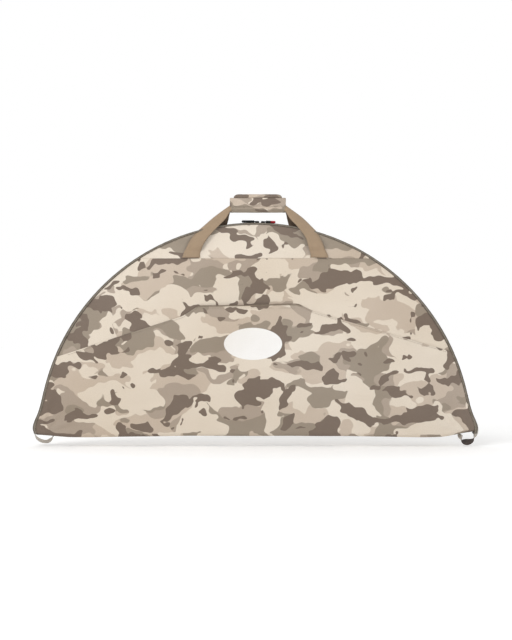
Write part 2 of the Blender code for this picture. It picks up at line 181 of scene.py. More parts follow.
def weave_height(n, place, pitch):
    """Plain weave: threads that pass over and under one another."""
    across = n.sine(place, 0, pitch)
    along = n.sine(place, 1, pitch)
    return n.math("MULTIPLY", across, along)


CREAM = (228, 217, 202)
BEIGE = (203, 188, 172)
GREIGE = (176, 162, 148)
OLIVE = (156, 144, 129)
BROWN = (122, 107, 95)


def camouflage(name="camo_cloth", badge=None, shade=0.0):
    """Woodland print in five flat browns: each colour is a warped, lobed noise cut off at a level, one over the other.

    badge is (middle, half size) of a plain white oval printed over it, on the flat cloth. shade gives the darker
    colours more room.
    """
    n = Nodes(name)
    place = n.cloth_place()
    stretched = n.vector("MULTIPLY", place, (0.66, 1.0, 1.0))
    half = (0.5, 0.5, 0.5)
    broad = n.vector("SUBTRACT", n.noise(stretched, 12.0, 0.0, output=1), half)
    fine = n.vector("SUBTRACT", n.noise(place, 40.0, 0.0, output=1), half)
    warped = n.vector("ADD", stretched, n.vector("SCALE", broad, scale=0.060))
    warped = n.vector("ADD", warped, n.vector("SCALE", fine, scale=0.020))

    def layer(shift, scale, level, lobes, finer, fingers):
        moved = n.vector("ADD", warped, shift)
        lobe = n.math("SUBTRACT", n.noise(moved, scale * finer, 0.0), 0.5)
        value = n.math("ADD", n.noise(moved, scale, 0.0), n.math("MULTIPLY", lobe, lobes))
        if fingers:
            finger = n.noise(n.vector("MULTIPLY", moved, (1.25, 1.0, 1.0)), 46.0, 0.0)
            value = n.math("ADD", value, n.math("MULTIPLY", n.math("SUBTRACT", finger, 0.5), fingers))
        return n.ramp(value, level - 0.004, level + 0.004)

    colour = rgb(*CREAM)
    for shift, scale, level, lobes, finer, fingers, dye in (
        ((3.1, 0.4, 0.0), 12.0, 0.430 - 2 * shade, 0.25, 2.3, 0.0, BEIGE),
        ((0.3, 7.7, 2.0), 12.0, 0.555 - shade, 0.25, 2.3, 0.0, GREIGE),
        ((5.2, 2.9, 4.0), 12.0, 0.575 - shade, 0.30, 2.3, 0.0, OLIVE),
        ((1.7, 4.3, 6.0), 12.0, 0.575 + shade, 0.45, 2.3, 0.15, CREAM),
        ((9.4, 1.1, 8.0), 12.5, 0.627 - shade, 0.72, 2.1, 0.50, BROWN),
    ):
        colour = n.mix(layer(shift, scale, level, lobes, finer, fingers), colour, rgb(*dye))

    if badge is not None:
        middle, half_size = badge
        offset = n.vector("SUBTRACT", place, (*middle, 0.0))
        scaled = n.vector("DIVIDE", offset, (*half_size, 1.0))
        reach = n.add("ShaderNodeVectorMath", operation="LENGTH")
        n.feed(reach.inputs[0], scaled)
        colour = n.mix(n.ramp(reach.outputs["Value"], 1.004, 0.996), colour, rgb(250, 250, 250))

    wear = n.noise(place, 3.0, 3.0)
    colour = n.mix(n.ramp(wear, 0.35, 0.75), colour, n.mix(1.0, colour, rgb(243, 239, 233), "MULTIPLY"))
    thread = weave_height(n, place, 0.0011)
    # painted shade: the print darker in the hollows of the weave
    colour = n.mix(n.ramp(thread, 1.0, -1.6), colour, n.mix(1.0, colour, rgb(222, 218, 213), "MULTIPLY"))
    slub = n.noise(n.vector("MULTIPLY", place, (1.0, 9.0, 1.0)), 160.0, 2.0)
    height = n.math("ADD", thread, n.math("MULTIPLY", slub, 0.8))
    n.bump(height, 0.00012, 0.5)
    return n.finish(colour, n.ramp(wear, 0.2, 0.8, 0.62, 0.78), sheen_weight=0.08, sheen_roughness=0.5)


def plain_cloth(name, colour, pitch, roughness=0.8, sheen=0.1, ribs=0.0, bump=0.0002):
    """A woven cloth or tape in one dye, uneven in tone, with painted shade darkening the hollows of the weave."""
    n = Nodes(name)
    place = n.cloth_place()
    thread = weave_height(n, place, pitch)
    height = thread
    if ribs:
        height = n.math("ADD", thread, n.math("MULTIPLY", n.sine(place, 0, ribs), 0.7))
    weave_hollow_shade = rgb(*[value * 0.72 for value in colour])
    shade = n.noise(place, 45.0, 4.0, 0.6)
    base = n.mix(n.ramp(shade, 0.3, 0.8), rgb(*[value * 0.93 for value in colour]), rgb(*colour))
    # painted shade: darker in the hollows of the weave
    base = n.mix(n.ramp(height, 1.0, -2.6), base, weave_hollow_shade)
    n.bump(height, bump, 0.6)
    return n.finish(base, n.ramp(shade, 0.3, 0.8, roughness - 0.08, roughness + 0.06), sheen_weight=sheen, sheen_roughness=0.5)


def bound_tape(name):
    """Binding tape: painted shade where it turns over the edge and along the stitched groove, and the tape's own
    lighter colour between them.
    """
    n = Nodes(name)
    place = n.cloth_place()
    part = n.add("ShaderNodeSeparateXYZ")
    n.feed(part.inputs[0], place)
    along = part.outputs[0]
    lit = n.math("MULTIPLY", n.ramp(along, 0.0136, 0.0148), n.ramp(along, 0.0186, 0.0176))
    shade = n.noise(place, 90.0, 3.0, 0.6)
    # the dark colour is painted shade at the turn and in the groove; the lighter one is the tape's own colour
    base = n.mix(lit, rgb(80, 72, 63), rgb(128, 119, 106))
    base = n.mix(n.ramp(shade, 0.4, 0.75), base, n.mix(1.0, base, rgb(205, 200, 192), "MULTIPLY"))
    height = n.math("ADD", n.sine(place, 0, 0.0011), n.sine(place, 1, 0.0009))
    n.bump(height, 0.00012, 0.6)
    return n.finish(base, n.ramp(shade, 0.3, 0.8, 0.68, 0.82), sheen_weight=0.1, sheen_roughness=0.5)


def moulded(name, colour, roughness, metallic=0.0):
    """Painted metal or moulded rubber with a fine grain and rubbed spots."""
    n = Nodes(name)
    place = n.add("ShaderNodeTexCoord").outputs["Object"]
    grain = n.noise(place, 900.0, 3.0, 0.6)
    rub = n.noise(place, 120.0, 3.0, 0.6)
    lighter = rgb(*[min(value * 1.5 + 14, 255) for value in colour])
    base = n.mix(n.ramp(rub, 0.55, 0.8), rgb(*colour), lighter)
    n.bump(grain, 0.00006, 0.5)
    n.shader.inputs["Specular IOR Level"].default_value = 0.25
    return n.finish(base, n.ramp(rub, 0.3, 0.8, roughness - 0.07, roughness + 0.10), metallic=metallic)


# ---------------------------------------------------------------- mesh helpers


def link(name, mesh, finish, shade=True):
    made = bpy.data.objects.new(name, mesh)
    bpy.context.scene.collection.objects.link(made)
    mesh.materials.append(finish)
    if shade:
        mesh.shade_smooth()
    return made


def grid(name, points, cloth, finish, thickness=0.0, loop=False, caps=False):
    """A sheet or a swept form from rows of points, with its place on the flat cloth as UV. thickness goes inwards."""
    rows, cols = points.shape[:2]
    bm = bmesh.new()
    uv = bm.loops.layers.uv.new("cloth")
    verts = [[bm.verts.new(points[r, c]) for c in range(cols)] for r in range(rows)]
    for r in range(rows - 1):
        for c in range(cols if loop else cols - 1):
            n = (c + 1) % cols
            corners = ((r, c), (r, n), (r + 1, n), (r + 1, c))
            face = bm.faces.new([verts[a][b] for a, b in corners])
            for corner, (a, b) in zip(face.loops, corners):
                wraps = b == 0 and c == cols - 1
                corner[uv].uv = 2 * cloth[a, -1] - cloth[a, -2] if wraps else cloth[a, b]
    if caps:
        for row in (verts[0], verts[-1]):
            face = bm.faces.new(row)
            for corner in face.loops:
                corner[uv].uv = (corner.vert.co.y, corner.vert.co.z)
    bmesh.ops.remove_doubles(bm, verts=bm.verts, dist=2e-5)
    if loop:
        bmesh.ops.recalc_face_normals(bm, faces=bm.faces)
    mesh = bpy.data.meshes.new(name)
    bm.to_mesh(mesh)
    bm.free()
    made = link(name, mesh, finish)
    if thickness:
        solid = made.modifiers.new("Thickness", "SOLIDIFY")
        solid.thickness = thickness
        solid.offset = -1.0
    return made


def apply_modifiers(made):
    """Turns the modifiers' result into the piece's own mesh."""
    shown = made.evaluated_get(bpy.context.evaluated_depsgraph_get())
    mesh = bpy.data.meshes.new_from_object(shown)
    made.modifiers.clear()
    made.data = mesh
    return made


def lump(x, y, z=0.0):
    """Smooth noise from -1 to 1."""
    return noise.noise(Vector((x, y, z)))


lumps = np.vectorize(lump, otypes=[float])


def smoothstep(value):
    value = np.clip(value, 0.0, 1.0)
    return value * value * (3 - 2 * value)


# ---------------------------------------------------------------- the half-moon's form


def crown(radius):
    """How far the outer fabric stands from the middle plane, at a distance from the mat's centre."""
    return RIM_DEPTH + (HALF - RIM_DEPTH) * smoothstep((SHELL_RADIUS - radius) / CROWN_WIDTH)


def rim_height(x, radius):
    return CENTRE_Z + np.sqrt(np.maximum(radius**2 - x**2, 0.0))


def fold_sag(x):
    """The fold's underside: it hangs a little towards the corners and turns up at them, more at the right."""
    hang = -0.0035 * np.exp(-(((np.abs(x) - 0.44) / 0.13) ** 2))
    lift = np.where(x > 0, 0.013, 0.004) * smoothstep((np.abs(x) - 0.49) / 0.10)
    return hang + lift + 0.0010 * lumps(x * 9, 3.3)


def splay(points):
    """The corners of the fold are pulled outwards by their loops: points near the edge move out with them."""
    points = np.array(points, float)
    x, height = points[..., 0], np.maximum(points[..., 2] - FOLD_Z, 0.0)
    pull = 0.0165 / (1 + (height / 0.052) ** 4) - 0.0050 * (1 - smoothstep(height / 0.022))
    points[..., 0] = x + np.sign(x) * pull * np.clip(np.abs(x) / MAT_RADIUS, 0, 1) ** 7
    return points


def wrinkle(x, z, side):
    """Unevenness of the stretched fabric: broad lumps, puckers at the bound edge and drag lines at the handles."""
    seed = 7.0 if side == FRONT else 19.0
    radius = np.hypot(x, z - CENTRE_Z)
    along = np.arctan2(x, z - CENTRE_Z) * SHELL_RADIUS
    inset = np.maximum(SHELL_RADIUS - radius, 0.0)
    broad = 0.0036 * lumps(x * 4.5, z * 5.5, seed) + 0.0018 * lumps(x * 11, z * 13, seed + 2)
    creases = 0.0017 * (1 - np.abs(lumps(x * 6 + z * 3, z * 9 - x * 2, seed + 5)) * 6).clip(0, 1)
    pucker = 0.0010 * lumps(along * 75, inset * 14, seed + 3) * np.exp(-inset / 0.022) * smoothstep(inset / 0.006)
    loose = 0.0016 * lumps(along * 22, inset * 9, seed + 4) * np.exp(-inset / 0.05)
    corner_x, corner_z = MAT_RADIUS - 0.030 - np.abs(x), z - FOLD_Z
    reach = np.hypot(corner_x, corner_z)
    turn = np.arctan2(corner_z, corner_x)
    folds = 0.0026 * np.sin(turn * 11 + 1.7 * (x > 0) + reach * 20) * np.exp(-(((reach - 0.045) / 0.040) ** 2))
    return (broad - creases + loose + folds) * smoothstep(inset / 0.02) + pucker


def columns(edge, count):
    """Column places across the half-moon, closer together where its edge is steep."""
    reach = sqrt(edge**2 - HALF**2) * 0.9999
    return reach * np.sin(np.linspace(-pi / 2, pi / 2, count))


def skin(name, side, x, top, finish, raised=0.0, gape=None, thickness=0.0011, seed=0.0, rows=62):
    """Outer fabric from the middle of the fold's underside, round the fold and up to the height that top gives."""
    low = up(fold_sag(x))
    width = crown(np.hypot(x, HALF)) + raised
    turn = np.minimum(FOLD_ROUND, width * 0.6)
    points, cloth = [], []
    for k in range(5):
        y = (width - turn) * k / 5
        points.append(np.stack([x, side * y, low - raised], axis=1))
        cloth.append(np.stack([x, low - (width - y)], axis=1))
    for k in range(6):
        angle = pi / 2 * k / 6
        y = width - turn + turn * sin(angle)
        z = low - raised + turn * (1 - cos(angle))
        points.append(np.stack([x, side * y, z], axis=1))
        cloth.append(np.stack([x, low - (width - y)], axis=1))
    foot = low - raised + turn
    roof = np.maximum(top(x), foot + 0.0003)
    for k in range(rows + 1):
        z = foot + (roof - foot) * k / rows
        y = crown(np.hypot(x, z - CENTRE_Z)) + raised + wrinkle(x, z, side) * smoothstep((z - foot) / 0.02)
        if gape is not None:
            y = y + gape(x, z)
        points.append(np.stack([x, side * y, z], axis=1))
        cloth.append(np.stack([x, z], axis=1))
    cloth = np.array(cloth) + seed
    cloth[..., 0] *= -side
    points = splay(points)
    if side == BACK:
        points, cloth = points[:, ::-1], cloth[:, ::-1]
    made = grid(name, points, cloth, finish, thickness)
    return made


def main_top(x):
    return np.minimum(rim_height(x, SKIN_EDGE), SEAM_Z + 0.004)


YOKE_SEED = 4.51  # where the yokes' cloth is cut from the print


def yoke(side, finish):
    """Top panel, from its folded lower edge, which laps over the main panel, to the bound edge."""
    reach = sqrt(SKIN_EDGE**2 - (SEAM_Z - CENTRE_Z) ** 2) * 0.9999
    x = reach * np.sin(np.linspace(-pi / 2, pi / 2, 150))
    points, cloth = [], []
    roof = rim_height(x, SKIN_EDGE)
    rows = 20
    for k in range(-2, rows + 1):
        z = SEAM_Z + (roof - SEAM_Z) * max(k, 0) / rows
        proud = {-2: -0.0012, -1: 0.0004}.get(k, 0.0011 * np.exp(-(z - SEAM_Z) / 0.006))
        y = crown(np.hypot(x, z - CENTRE_Z)) + wrinkle(x, z, side) + proud
        points.append(np.stack([x, side * y, z - (0.0006 if k == -1 else 0)], axis=1))
        cloth.append(np.stack([-side * x + YOKE_SEED, z - SEAM_Z + YOKE_SEED], axis=1))
    points, cloth = np.array(points), np.array(cloth)
    if side == BACK:
        points, cloth = points[:, ::-1], cloth[:, ::-1]
    made = grid(f"{PREFIX[side]}_yoke", points, cloth, finish, 0.0010)
    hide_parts(f"{PREFIX[side]}_yoke_panel")
    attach(made, f"{PREFIX[side]}_half")
    return made


def surface_at(x, z, side, raised=0.0):
    y = crown(np.hypot(x, z - CENTRE_Z)) + wrinkle(np.asarray(x, float), np.asarray(z, float), side)
    return side * (y + raised)


def fold_blend(made):
    """Bakes the piece's transform into its mesh."""
    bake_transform(made)


# ---------------------------------------------------------------- front and back panels


def main_panel(side, finish):
    prefix = PREFIX[side]
    made = skin(f"{prefix}_panel", side, columns(SKIN_EDGE, 200), main_top, finish, seed=0.0 if side == FRONT else 3.7)
    fold_blend(made)
    replaced = [f"{prefix}_main_panel"]
    if side == FRONT:
        replaced.append("fold_spine")
    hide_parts(*replaced)
    return made


# the pocket's upper edge, from one side to the other: its two ends, two knees and the two corners of its mouth
POCKET_EDGE = ((-0.600, 0.190), (-0.194, 0.321), (-0.152, 0.349), (0.115, 0.354), (0.157, 0.333), (0.600, 0.204))
MOUTH_LEFT, MOUTH_RIGHT = POCKET_EDGE[2][0], POCKET_EDGE[3][0]


def pocket_top(x):
    """The pocket's upper edge: level at the mouth, falling steeply beside it and then away to both sides."""
    heights = 0.0
    for shift in (-0.006, 0.0, 0.006):
        heights = heights + np.interp(x + shift, *zip(*POCKET_EDGE)) / 3
    sag = 0.0015 * np.sin((x - MOUTH_LEFT) / (MOUTH_RIGHT - MOUTH_LEFT) * pi) * (x > MOUTH_LEFT) * (x < MOUTH_RIGHT)
    return np.minimum(up(heights - sag), rim_height(x, SKIN_EDGE - 0.002))


def pocket_gape(x, z):
    """The mouth stands open a little; its lip curls outwards, most at the left, and a crease runs to its right end."""
    middle = (MOUTH_LEFT + MOUTH_RIGHT) / 2
    half = (MOUTH_RIGHT - MOUTH_LEFT) / 2
    across = np.cos(np.clip(np.abs(x - middle) / half, 0, 1) * pi / 2) ** 1.2
    rise = smoothstep((z - (POCKET_Z - 0.150)) / 0.150)
    lip = smoothstep((z - (POCKET_Z - 0.014)) / 0.014)
    curl = np.exp(-(((x - MOUTH_LEFT - 0.014) / 0.013) ** 2)) * lip
    uneven = lumps(x * 16, z * 0 + 2.0)
    share = np.clip((x - 0.016) / (MOUTH_RIGHT - 0.016), 0, 1)
    off = z - up(0.3350 + 0.0180 * share)
    crease = np.exp(-((off / 0.0022) ** 2)) * smoothstep(share * 3) * (share < 1)
    fullness = 0.0013 * np.exp(-(((off + 0.006) / 0.006) ** 2)) * smoothstep(share * 3) * (share < 1)
    return across * (0.0065 * rise + 0.0026 * lip + 0.0008 * uneven * rise) + 0.0036 * curl - 0.0020 * crease + fullness


def pocket_hem(finish):
    """Narrow tape folded over the edge of the pocket's mouth; its dark colour is painted shade of the gap under the
    lip.
    """
    x = np.linspace(MOUTH_LEFT - 0.006, MOUTH_RIGHT + 0.008, 160)
    top = pocket_top(x)
    width = 0.75
    points, cloth = [], []
    for down, out in ((0.0034, 0.0002), (0.0029, 0.0009), (0.0004, 0.0009), (-0.0004, 0.0), (0.0004, -0.0018), (0.0029, -0.0018)):
        z = top - down * width
        y = surface_at(x, np.minimum(z, top), FRONT, 0.0016 + out) - pocket_gape(x, np.minimum(z, top))
        points.append(np.stack([x, y, z], axis=1))
        cloth.append(np.stack([x, z], axis=1))
    points = splay(np.array(points).transpose(1, 0, 2))
    cloth = np.array(cloth).transpose(1, 0, 2)
    made = grid("pocket_mouth_painted_shade_tape", points, cloth, finish, loop=True, caps=True)
    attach(made, "front_half")


BADGE_MIDDLE = (-0.006, 0.246)
BADGE_HALF = (0.078, 0.043)
POCKET_SEED = 8.3


def pocket(finish, hem, thread):
    made = skin("front_pocket", FRONT, columns(SKIN_EDGE - 0.002, 200), pocket_top, finish, raised=0.0016, gape=pocket_gape, seed=POCKET_SEED, rows=56)
    fold_blend(made)
    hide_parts("front_pocket_panel")
    pocket_hem(hem)
    for name, low, high in (("left", -0.505, MOUTH_LEFT), ("right", MOUTH_RIGHT, 0.515)):
        x = np.linspace(low, high, 90)
        z = pocket_top(x) - 0.0045
        y = surface_at(x, z, FRONT, 0.0020) - pocket_gape(x, z)
        stitches(f"pocket_{name}_stitches", np.stack([x, y, z], axis=1), thread, "front_half")
    x = np.linspace(MOUTH_LEFT + 0.004, MOUTH_RIGHT - 0.004, 60)
    z = np.full_like(x, POCKET_Z - 0.012)
    y = surface_at(x, z, FRONT, 0.0020) - pocket_gape(x, z)
    stitches("pocket_hem_stitches", np.stack([x, y, z], axis=1), thread, "front_half")


def stitches(name, line, finish, body, length=0.0030, gap=0.0014, thick=0.00035):
    """A row of thread stitches along a line of points: each is a short rounded bar that dips at both ends."""
    line = splay(line)
    steps = np.linalg.norm(np.diff(line, axis=0), axis=1)
    along = np.concatenate([[0.0], np.cumsum(steps)])
    count = int(along[-1] / (length + gap))
    bm = bmesh.new()
    uv = bm.loops.layers.uv.new("cloth")
    shares = (-0.5, -0.3, 0.3, 0.5)
    swell = (0.45, 1.0, 1.0, 0.45)
    for k in range(count):
        middle = (k + 0.5) * (length + gap)
        rings = []
        for share, size in zip(shares, swell):
            at = middle + share * length
            point = Vector([np.interp(at, along, line[:, axis]) for axis in range(3)])
            ahead = Vector([np.interp(at + 0.001, along, line[:, axis]) for axis in range(3)])
            run = (ahead - point).normalized() if (ahead - point).length > 1e-7 else Vector((1, 0, 0))
            side = run.cross(Vector((0, 1, 0))).normalized()
            out = side.cross(run)
            ring = []
            for corner in range(5):
                angle = 2 * pi * corner / 5
                ring.append(bm.verts.new(point + (side * cos(angle) + out * sin(angle)) * thick * size))
            rings.append(ring)
        for a, b in zip(rings, rings[1:]):
            for corner in range(5):
                other = (corner + 1) % 5
                bm.faces.new((a[corner], a[other], b[other], b[corner]))
        bm.faces.new(rings[0])
        bm.faces.new(rings[-1])
    bmesh.ops.recalc_face_normals(bm, faces=bm.faces)
    for face in bm.faces:
        for corner in face.loops:
            corner[uv].uv = (corner.vert.co.x, corner.vert.co.z)
    mesh = bpy.data.meshes.new(name)
    bm.to_mesh(mesh)
    bm.free()
    made = link(name, mesh, finish)
    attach(made, body)
    return made


# ---------------------------------------------------------------- edge binding and zip


def arc_rows(section, start, end, segments, waver=None):
    """Rows of a (radius, y) section swept round the mat's edge. Angles run from the top, to the right."""
    section = np.asarray(section, float)
    around = np.concatenate([[0.0], np.cumsum(np.linalg.norm(np.diff(section, axis=0), axis=1))])
    points, cloth = [], []
    for angle in np.linspace(start, end, segments + 1):
        radius = section[:, 0].copy()
        y = section[:, 1].copy()
        if waver is not None:
            radius, y = waver(angle, radius, y)
        points.append(np.stack([radius * sin(angle), y, CENTRE_Z + radius * cos(angle)], axis=1))
        cloth.append(np.stack([around, np.full_like(around, angle * MAT_RADIUS)], axis=1))
    return splay(points), np.array(cloth)


def end_angle(height, radius):
    """The angle from the top at which a radius meets a height above the fold."""
    return pi / 2 - asin((height + RIM_DEPTH) / radius)


def binding(side, tape, thread):
    """Tape folded over the edge, wider at the sides than at the top, with a row of stitches along its inner side."""
    prefix = PREFIX[side]
    inner, outer, back, face = SHELL_RADIUS + 0.0003, MAT_RADIUS, 0.0082, RIM_DEPTH + 0.0017
    section = [
        (inner, back), (outer - 0.0020, back), (outer - 0.0006, back + 0.0006), (outer, back + 0.0022),
        (outer - 0.0006, face - 0.0012), (outer - 0.0020, face - 0.0002), (outer - 0.0034, face + 0.0002),
        (inner + 0.0030, face + 0.0003), (inner + 0.0018, face - 0.0001), (inner + 0.0006, face + 0.0001),
        (inner, face - 0.0009), (inner + 0.0006, back + 0.0012),
    ]
    section = [(radius, side * y) for radius, y in section]

    def waver(angle, radius, y):
        puff = 0.00045 * lump(angle * 55, side * 3.0) + 0.0003 * lump(angle * 160, side * 5.0)
        width = 0.62 + 0.38 * abs(sin(angle)) ** 1.5 + 0.05 * lump(angle * 9, side * 7.0)
        narrow = outer - (outer - radius) * width
        return narrow + puff * 0.5, y + side * puff * (np.abs(y) > back + 0.002)

    limit = end_angle(0.004, SHELL_RADIUS)
    points, cloth = arc_rows(section, -limit, limit, 420, waver)
    made = grid(f"{prefix}_binding", points, cloth, tape, loop=True, caps=True)
    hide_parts(f"{prefix}_edge_binding")
    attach(made, f"{prefix}_half")

    line = []
    for angle in np.linspace(-limit + 0.01, limit - 0.01, 500):
        radius = outer - (outer - inner - 0.0018) * (0.62 + 0.38 * abs(sin(angle)) ** 1.5)
        line.append((radius * sin(angle), side * (face + 0.0001), CENTRE_Z + radius * cos(angle)))
    stitches(f"{prefix}_binding_stitches", line, thread, f"{prefix}_half")


def zip_half(side, tape, teeth):
    """Tape and coil of one half. The teeth stand half a pitch from those of the other half."""
    prefix = PREFIX[side]
    limit = end_angle(0.034, COIL_RADIUS)
    section = [
        (COIL_RADIUS - 0.0007, 0.0088), (COIL_RADIUS - 0.0007, 0.0012), (COIL_RADIUS - 0.0001, 0.0010),
        (COIL_RADIUS + 0.0001, 0.0014), (COIL_RADIUS + 0.0002, 0.0060), (COIL_RADIUS + 0.0001, 0.0088),
    ]
    points, cloth = arc_rows([(r, side * y) for r, y in section], -limit, limit, 260)
    made = grid(f"{prefix}_zip_tape_cloth", points, cloth, tape, loop=True, caps=True)
    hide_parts(f"{prefix}_zip_tape")
    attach(made, f"{prefix}_half")

    pitch = 0.0030
    count = int(2 * limit * COIL_RADIUS / pitch)
    bm = bmesh.new()
    uv = bm.loops.layers.uv.new("cloth")
    shift = 0.25 if side == FRONT else 0.75
    for k in range(count):
        angle = -limit + (k + shift) * pitch / COIL_RADIUS
        turn = Matrix.Rotation(angle, 3, "Y")
        rings = []
        for y, size in ((0.0036, 0.5), (0.0032, 0.9), (0.0012, 1.0), (0.0002, 1.0), (-0.0002, 0.5)):
            ring = []
            for corner in range(6):
                around = 2 * pi * corner / 6
                local = Vector((0.00062 * size * cos(around), side * y, COIL_RADIUS + 0.0005 + 0.0008 * size * sin(around)))
                ring.append(bm.verts.new(splay(turn @ local + Vector((0, 0, CENTRE_Z)))))
            rings.append(ring)
        for a, b in zip(rings, rings[1:]):
            for corner in range(6):
                other = (corner + 1) % 6
                bm.faces.new((a[corner], a[other], b[other], b[corner]))
        bm.faces.new(rings[0])
        bm.faces.new(rings[-1])
    bmesh.ops.recalc_face_normals(bm, faces=bm.faces)
    for face in bm.faces:
        for corner in face.loops:
            corner[uv].uv = (corner.vert.co.x, corner.vert.co.y)
    mesh = bpy.data.meshes.new(f"{prefix}_zip_coil")
    bm.to_mesh(mesh)
    bm.free()
    made = link(f"{prefix}_zip_coil", mesh, teeth)
    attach(made, f"{prefix}_half")


# ---------------------------------------------------------------- linings and the foot of the fold


def lining(side, finish, thread):
    """Padded inner face of one half, quilted in lines, from the middle of the fold to the zip."""
    prefix = PREFIX[side]
    x = columns(SHELL_RADIUS - 0.003, 130)
    inner = 0.0086
    foot = up(0.0045) + np.maximum(fold_sag(x), 0.0)
    width = crown(np.hypot(x, HALF)) - inner
    points, cloth = [], []
    for k in range(6):
        y = width * k / 6
        points.append(np.stack([x, side * (0.0006 + y), foot], axis=1))
        cloth.append(np.stack([x, foot - (width - y)], axis=1))
    rows = 56
    roof = rim_height(x, SHELL_RADIUS - 0.003)
    for k in range(rows + 1):
        z = foot + (roof - foot) * k / rows
        radius = np.hypot(x, z - CENTRE_Z)
        quilt = np.abs(np.sin(x * pi / 0.090)) ** 0.35 * np.abs(np.sin((z - FOLD_Z) * pi / 0.090)) ** 0.35
        puff = 0.0022 * quilt * smoothstep((SHELL_RADIUS - radius) / 0.03)
        y = np.maximum(crown(radius) - inner - puff, 0.0012)
        points.append(np.stack([x, side * y, z], axis=1))
        cloth.append(np.stack([x, z], axis=1))
    points, cloth = splay(points), np.array(cloth)
    if side == FRONT:
        points, cloth = points[:, ::-1], cloth[:, ::-1]
    made = grid(f"{prefix}_inner_pad", points, cloth, finish, 0.0045)
    apply_modifiers(made)
    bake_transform(made)
    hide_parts(f"{prefix}_lining", f"{prefix}_foam_pad")
    if side == FRONT:
        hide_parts("fold_lining")


def rounded_box(name, low, high, radius, finish, segments=3, puff=0.0, subdivide=0):
    """A moulded or sewn block with round edges, and UVs in metres from the two widest sides."""
    low, high = Vector(low), Vector(high)
    size = high - low
    bm = bmesh.new()
    matrix = Matrix.Translation((low + high) / 2) @ Matrix.Diagonal((*size, 1.0))
    bmesh.ops.create_cube(bm, size=1.0, matrix=matrix)
    bmesh.ops.bevel(bm, geom=list(bm.edges), offset=radius, segments=segments, profile=0.5, affect="EDGES")
    uv = bm.loops.layers.uv.new("cloth")
    for face in bm.faces:
        for corner in face.loops:
            co = corner.vert.co
            corner[uv].uv = (co.x + co.y, co.z + co.y * 0.5)
    mesh = bpy.data.meshes.new(name)
    bm.to_mesh(mesh)
    bm.free()
    return link(name, mesh, finish)


def fold_end(word, finish):
    """Fabric stop that closes the end of the zip over the corner of the fold."""
    low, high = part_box(f"{word}_fold_end")
    sign = 1 if word == "right" else -1
    x = [low[0], high[0]] if sign > 0 else [high[0], low[0]]
    outer = x[1]
    foot = up(0.0035) + max(float(fold_sag(np.float64(outer))), 0.0)
    points, cloth = [], []
    stations = 14
    for k in range(stations + 1):
        share = k / stations
        z = foot + (high[2] - foot) * share
        wide = 0.0110 - 0.0045 * smoothstep(share * 1.4)
        reach = outer - sign * (0.0005 + 0.0030 * share * share)
        row = []
        for corner in range(12):
            turn = 2 * pi * corner / 12
            deep = 0.0065 * (1 - 0.25 * share)
            bulge = abs(cos(turn)) ** 0.7 * (1 if cos(turn) > 0 else -1)
            side = abs(sin(turn)) ** 0.7 * (1 if sin(turn) > 0 else -1)
            row.append((reach - sign * deep + sign * deep * bulge, wide * side, z))
        points.append(row)
        cloth.append([(corner * 0.004, z) for corner in range(12)])
    made = grid(f"{word}_zip_stop", np.array(points), np.array(cloth), finish, loop=True, caps=True)
    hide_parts(f"{word}_fold_end")
    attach(made, "fold")


# ---------------------------------------------------------------- webbing


def strap(name, line, finish, section_steps=6, camber=0.0, painted_shade_finish=None):
    """A flat woven strap: line holds (centre, direction across its width, width, thickness) for each station.

    The last argument, where given, is the finish of the face that looks to the left of the run: a darker copy of the
    strap's cloth, painted shade on that face.
    """
    points, cloth = [], []
    run = 0.0
    before = None
    shares = [-0.5 + step / section_steps for step in range(section_steps + 1)]
    for k, (centre, across, width, thick) in enumerate(line):
        if before is not None:
            run += (centre - before).length
        before = centre
        ahead = line[min(k + 1, len(line) - 1)][0] - line[max(k - 1, 0)][0]
        out = ahead.normalized().cross(across).normalized()
        row, places = [], []
        for face, order in ((1, shares), (-1, shares[::-1])):
            for share in order:
                edge = 1 - abs(2 * share) ** 6 * 0.55
                lift = camber * (0.25 - share * share) * 4
                row.append(centre + across * width * share + out * (face * thick / 2 * edge + lift))
                places.append((share * width, run))
        points.append([tuple(p) for p in row])
        cloth.append(places)
    made = grid(name, np.array(points), np.array(cloth), finish, loop=True, caps=True)
    if painted_shade_finish is not None:
        made.data.materials.append(painted_shade_finish)
        around = 2 * (section_steps + 1)
        for face in made.data.polygons:
            if face.index % around >= section_steps + 1 and face.index < around * (len(line) - 1):
                face.material_index = 1
    return made


def bezier(points, t):
    a, b, c, d = points
    u = 1 - t
    return a * u**3 + b * 3 * u * u * t + c * 3 * u * t * t + d * t**3


GRIP_SHIFT = (GRIP_LOW[0] + GRIP_HIGH[0]) / 2
GRIP_WEB_Z = up(0.6155)

